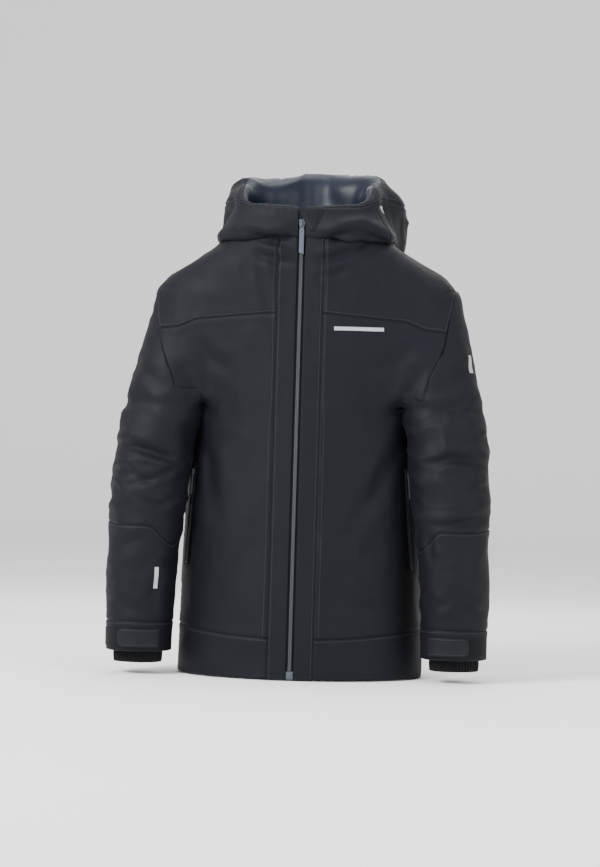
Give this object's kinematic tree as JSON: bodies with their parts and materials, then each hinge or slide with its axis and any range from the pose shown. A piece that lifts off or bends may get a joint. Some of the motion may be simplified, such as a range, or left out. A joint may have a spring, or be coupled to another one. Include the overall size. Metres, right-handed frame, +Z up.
{
  "type": "ski jacket",
  "caption": "Insulated ski jacket with a zipped front, a fallen hood, hand pockets, strapped cuffs and a lined body.",
  "frame": {"origin": "middle of the jacket's outline at the level of the body hem", "axes": "+Z up from hem to collar, -Y the centre front, +X the wearer's left"},
  "size_m": [0.633, 0.3262, 0.8637],
  "materials": {
    "shell": "woven polyester, matt with a faint sheen",
    "tab": "moulded rubbery strap",
    "loop_pile": "looped pile",
    "gaiter": "ribbed stretch knit",
    "wadding": "polyester wadding",
    "lining": "smooth satin-weave lining",
    "zip_tape": "woven zip tape",
    "zip_coil": "extruded nylon coil",
    "zip_end": "moulded acetal",
    "slider_metal": "die cast and painted",
    "pull": "moulded pull",
    "pocket_zip": "nylon coil on woven tape",
    "skirt": "taffeta",
    "stud_metal": "painted press stud",
    "label": "blank woven label",
    "loop_cord": "braided cord",
    "mark": "pale transfer film"
  },
  "bodies": {
    "jacket": {"front_hem_left": "shell", "front_panel_left": "shell", "front_yoke_left": "shell", "placket_left": "shell", "collar_left": "shell", "cuff_band_left": "shell", "forearm_left": "shell", "upper_sleeve_left": "shell", "loop_patch_left": "loop_pile", "wrist_gaiter_left": "gaiter", "sleeve_wadding_left": "wadding", "sleeve_lining_left": "lining", "hood_side_left": "shell", "zip_tape_left": "zip_tape", "zip_coil_left": "zip_coil", "pocket_zip_left": "pocket_zip", "pocket_bag_left": "lining", "front_hem_right": "shell", "front_panel_right": "shell", "front_yoke_right": "shell", "placket_right": "shell", "collar_right": "shell", "cuff_band_right": "shell", "forearm_right": "shell", "upper_sleeve_right": "shell", "loop_patch_right": "loop_pile", "wrist_gaiter_right": "gaiter", "sleeve_wadding_right": "wadding", "sleeve_lining_right": "lining", "hood_side_right": "shell", "zip_tape_right": "zip_tape", "zip_coil_right": "zip_coil", "pocket_zip_right": "pocket_zip", "pocket_bag_right": "lining", "back_hem": "shell", "back_panel": "shell", "back_yoke": "shell", "hood_neck": "shell", "hood_centre": "shell", "hood_rim": "shell", "body_wadding": "wadding", "hood_wadding": "wadding", "body_lining": "lining", "hood_lining": "lining", "snow_skirt": "skirt", "skirt_studs": "stud_metal", "neck_label": "label", "hanger_loop": "loop_cord", "storm_flap": "shell", "chin_flap": "shell", "zip_box": "zip_end", "light_marks": "mark"},
    "main_slider": {"zip_slider": "slider_metal"},
    "main_pull": {"zip_pull": "pull"},
    "pocket_slider_left": {"pocket_slider_left": "slider_metal"},
    "pocket_pull_left": {"pocket_pull_left": "pull"},
    "cuff_tab_left": {"cuff_tab_left": "tab"},
    "pocket_slider_right": {"pocket_slider_right": "slider_metal"},
    "pocket_pull_right": {"pocket_pull_right": "pull"},
    "cuff_tab_right": {"cuff_tab_right": "tab"}
  },
  "joints": [
    {"name": "main_zip_slide", "type": "slide", "parent": "jacket", "child": "main_slider", "axis": [0, -0.0619, -0.9981], "range_m": [0, 0.715]},
    {"name": "main_pull_swing", "type": "hinge", "parent": "main_slider", "child": "main_pull", "pos_m": [0, -0.11986, 0.74275], "axis": [-1, 0, 0], "range_deg": [0, 95]},
    {"name": "pocket_zip_slide_left", "type": "slide", "parent": "jacket", "child": "pocket_slider_left", "axis": [0.0724, 0.0009, -0.9974], "range_m": [0, 0.1462]},
    {"name": "pocket_pull_swing_left", "type": "hinge", "parent": "pocket_slider_left", "child": "pocket_pull_left", "pos_m": [0.17988, -0.06332, 0.33557], "axis": [-0.51, -0.8593, -0.0378], "range_deg": [0, 6]},
    {"name": "cuff_tab_open_left", "type": "hinge", "parent": "jacket", "child": "cuff_tab_left", "pos_m": [0.2215, -0.1265, 0.059], "axis": [0, 0, -1], "range_deg": [0, 70]},
    {"name": "pocket_zip_slide_right", "type": "slide", "parent": "jacket", "child": "pocket_slider_right", "axis": [-0.0724, 0.0009, -0.9974], "range_m": [0, 0.1462]},
    {"name": "pocket_pull_swing_right", "type": "hinge", "parent": "pocket_slider_right", "child": "pocket_pull_right", "pos_m": [-0.17988, -0.06332, 0.33557], "axis": [-0.51, 0.8593, 0.0378], "range_deg": [0, 6]},
    {"name": "cuff_tab_open_right", "type": "hinge", "parent": "jacket", "child": "cuff_tab_right", "pos_m": [-0.2215, -0.1265, 0.059], "axis": [0, 0, 1], "range_deg": [0, 70]}
  ]
}
